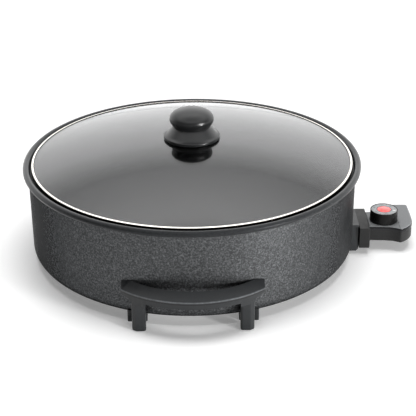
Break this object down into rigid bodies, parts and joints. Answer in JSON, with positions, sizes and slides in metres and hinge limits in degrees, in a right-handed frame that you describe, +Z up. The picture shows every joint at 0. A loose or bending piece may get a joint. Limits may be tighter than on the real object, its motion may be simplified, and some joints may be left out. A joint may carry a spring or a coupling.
{
  "type": "electric skillet",
  "caption": "Round deep electric skillet with a loose domed glass lid, moulded handles on feet, and a plug-in temperature controller with a dial.",
  "frame": {"origin": "on the pan's axis at counter level, the level of the feet", "axes": "+Z up along the pan's axis, +X towards the plug-in controller, front handle towards -Y"},
  "size_m": [0.492, 0.4666, 0.188],
  "materials": {
    "pan_coating": "matt dark grey speckled non-stick coating on cast aluminium",
    "element_steel": "drawn steel tube, slightly heat dulled",
    "ceramic": "white ceramic",
    "cover_steel": "aluminised steel sheet",
    "screw_steel": "zinc plated",
    "handle_phenolic": "satin black phenolic",
    "lid_glass": "clear tempered glass",
    "band_steel": "bright rolled stainless steel",
    "seal_silicone": "black silicone",
    "knob_phenolic": "satin black phenolic",
    "brass": "plain brass",
    "controller_plastic": "black moulded plastic",
    "controller_top": "finely textured black plastic with a glossy edge",
    "grommet_rubber": "black rubber",
    "lamp_glass": "clear tube with an orange glow",
    "dial_gloss": "glossy black",
    "scale_grey": "grey printed ring",
    "lens_red": "clear red"
  },
  "bodies": {
    "pan": {"pan_body": "pan_coating", "heating_element": "element_steel", "element_insulators": "ceramic", "terminal_pins": "element_steel", "base_cover": "cover_steel", "base_cover_screws": "screw_steel", "probe_tube": "element_steel", "socket_housing": "handle_phenolic", "socket_screws": "screw_steel", "front_handle": "handle_phenolic", "front_handle_screws": "screw_steel", "rear_handle": "handle_phenolic", "rear_handle_screws": "screw_steel"},
    "lid": {"lid_glass": "lid_glass", "lid_band": "band_steel", "lid_gasket": "seal_silicone", "knob_seal": "seal_silicone", "knob_base": "knob_phenolic", "knob_cap": "knob_phenolic", "knob_insert": "brass", "knob_lower_seal": "seal_silicone", "knob_washer": "screw_steel", "knob_screw": "screw_steel"},
    "controller": {"plug_collar": "controller_plastic", "contact_block": "controller_plastic", "terminal_contacts": "brass", "temperature_probe": "element_steel", "probe_rod": "element_steel", "probe_ferrule": "cover_steel", "controller_housing": "controller_plastic", "controller_cover": "controller_top", "housing_screws": "screw_steel", "cord_grommet": "grommet_rubber", "thermostat_frame": "cover_steel", "thermostat_spacers": "ceramic", "contact_springs": "brass", "contact_points": "brass", "cam_follower": "ceramic", "thermostat_rivet": "screw_steel", "pilot_lamp": "lamp_glass", "terminal_block": "controller_plastic", "terminal_screws": "screw_steel", "cord_saddle": "controller_plastic", "cord_clamp": "controller_plastic", "cord_clamp_screws": "screw_steel"},
    "dial": {"dial_knob": "dial_gloss", "dial_scale": "scale_grey", "dial_lens": "lens_red", "dial_spindle": "brass", "spindle_clip": "screw_steel"}
  },
  "joints": [
    {"name": "lid_lift", "type": "slide", "parent": "pan", "child": "lid", "axis": [0, 0, 1], "range_m": [0, 0.15]},
    {"name": "controller_pull", "type": "slide", "parent": "pan", "child": "controller", "axis": [1, 0, 0], "range_m": [0, 0.1]},
    {"name": "dial_turn", "type": "hinge", "parent": "controller", "child": "dial", "pos_m": [0.2446, 0, 0.0337], "axis": [0, 0, 1], "range_deg": [-290, 0]}
  ]
}
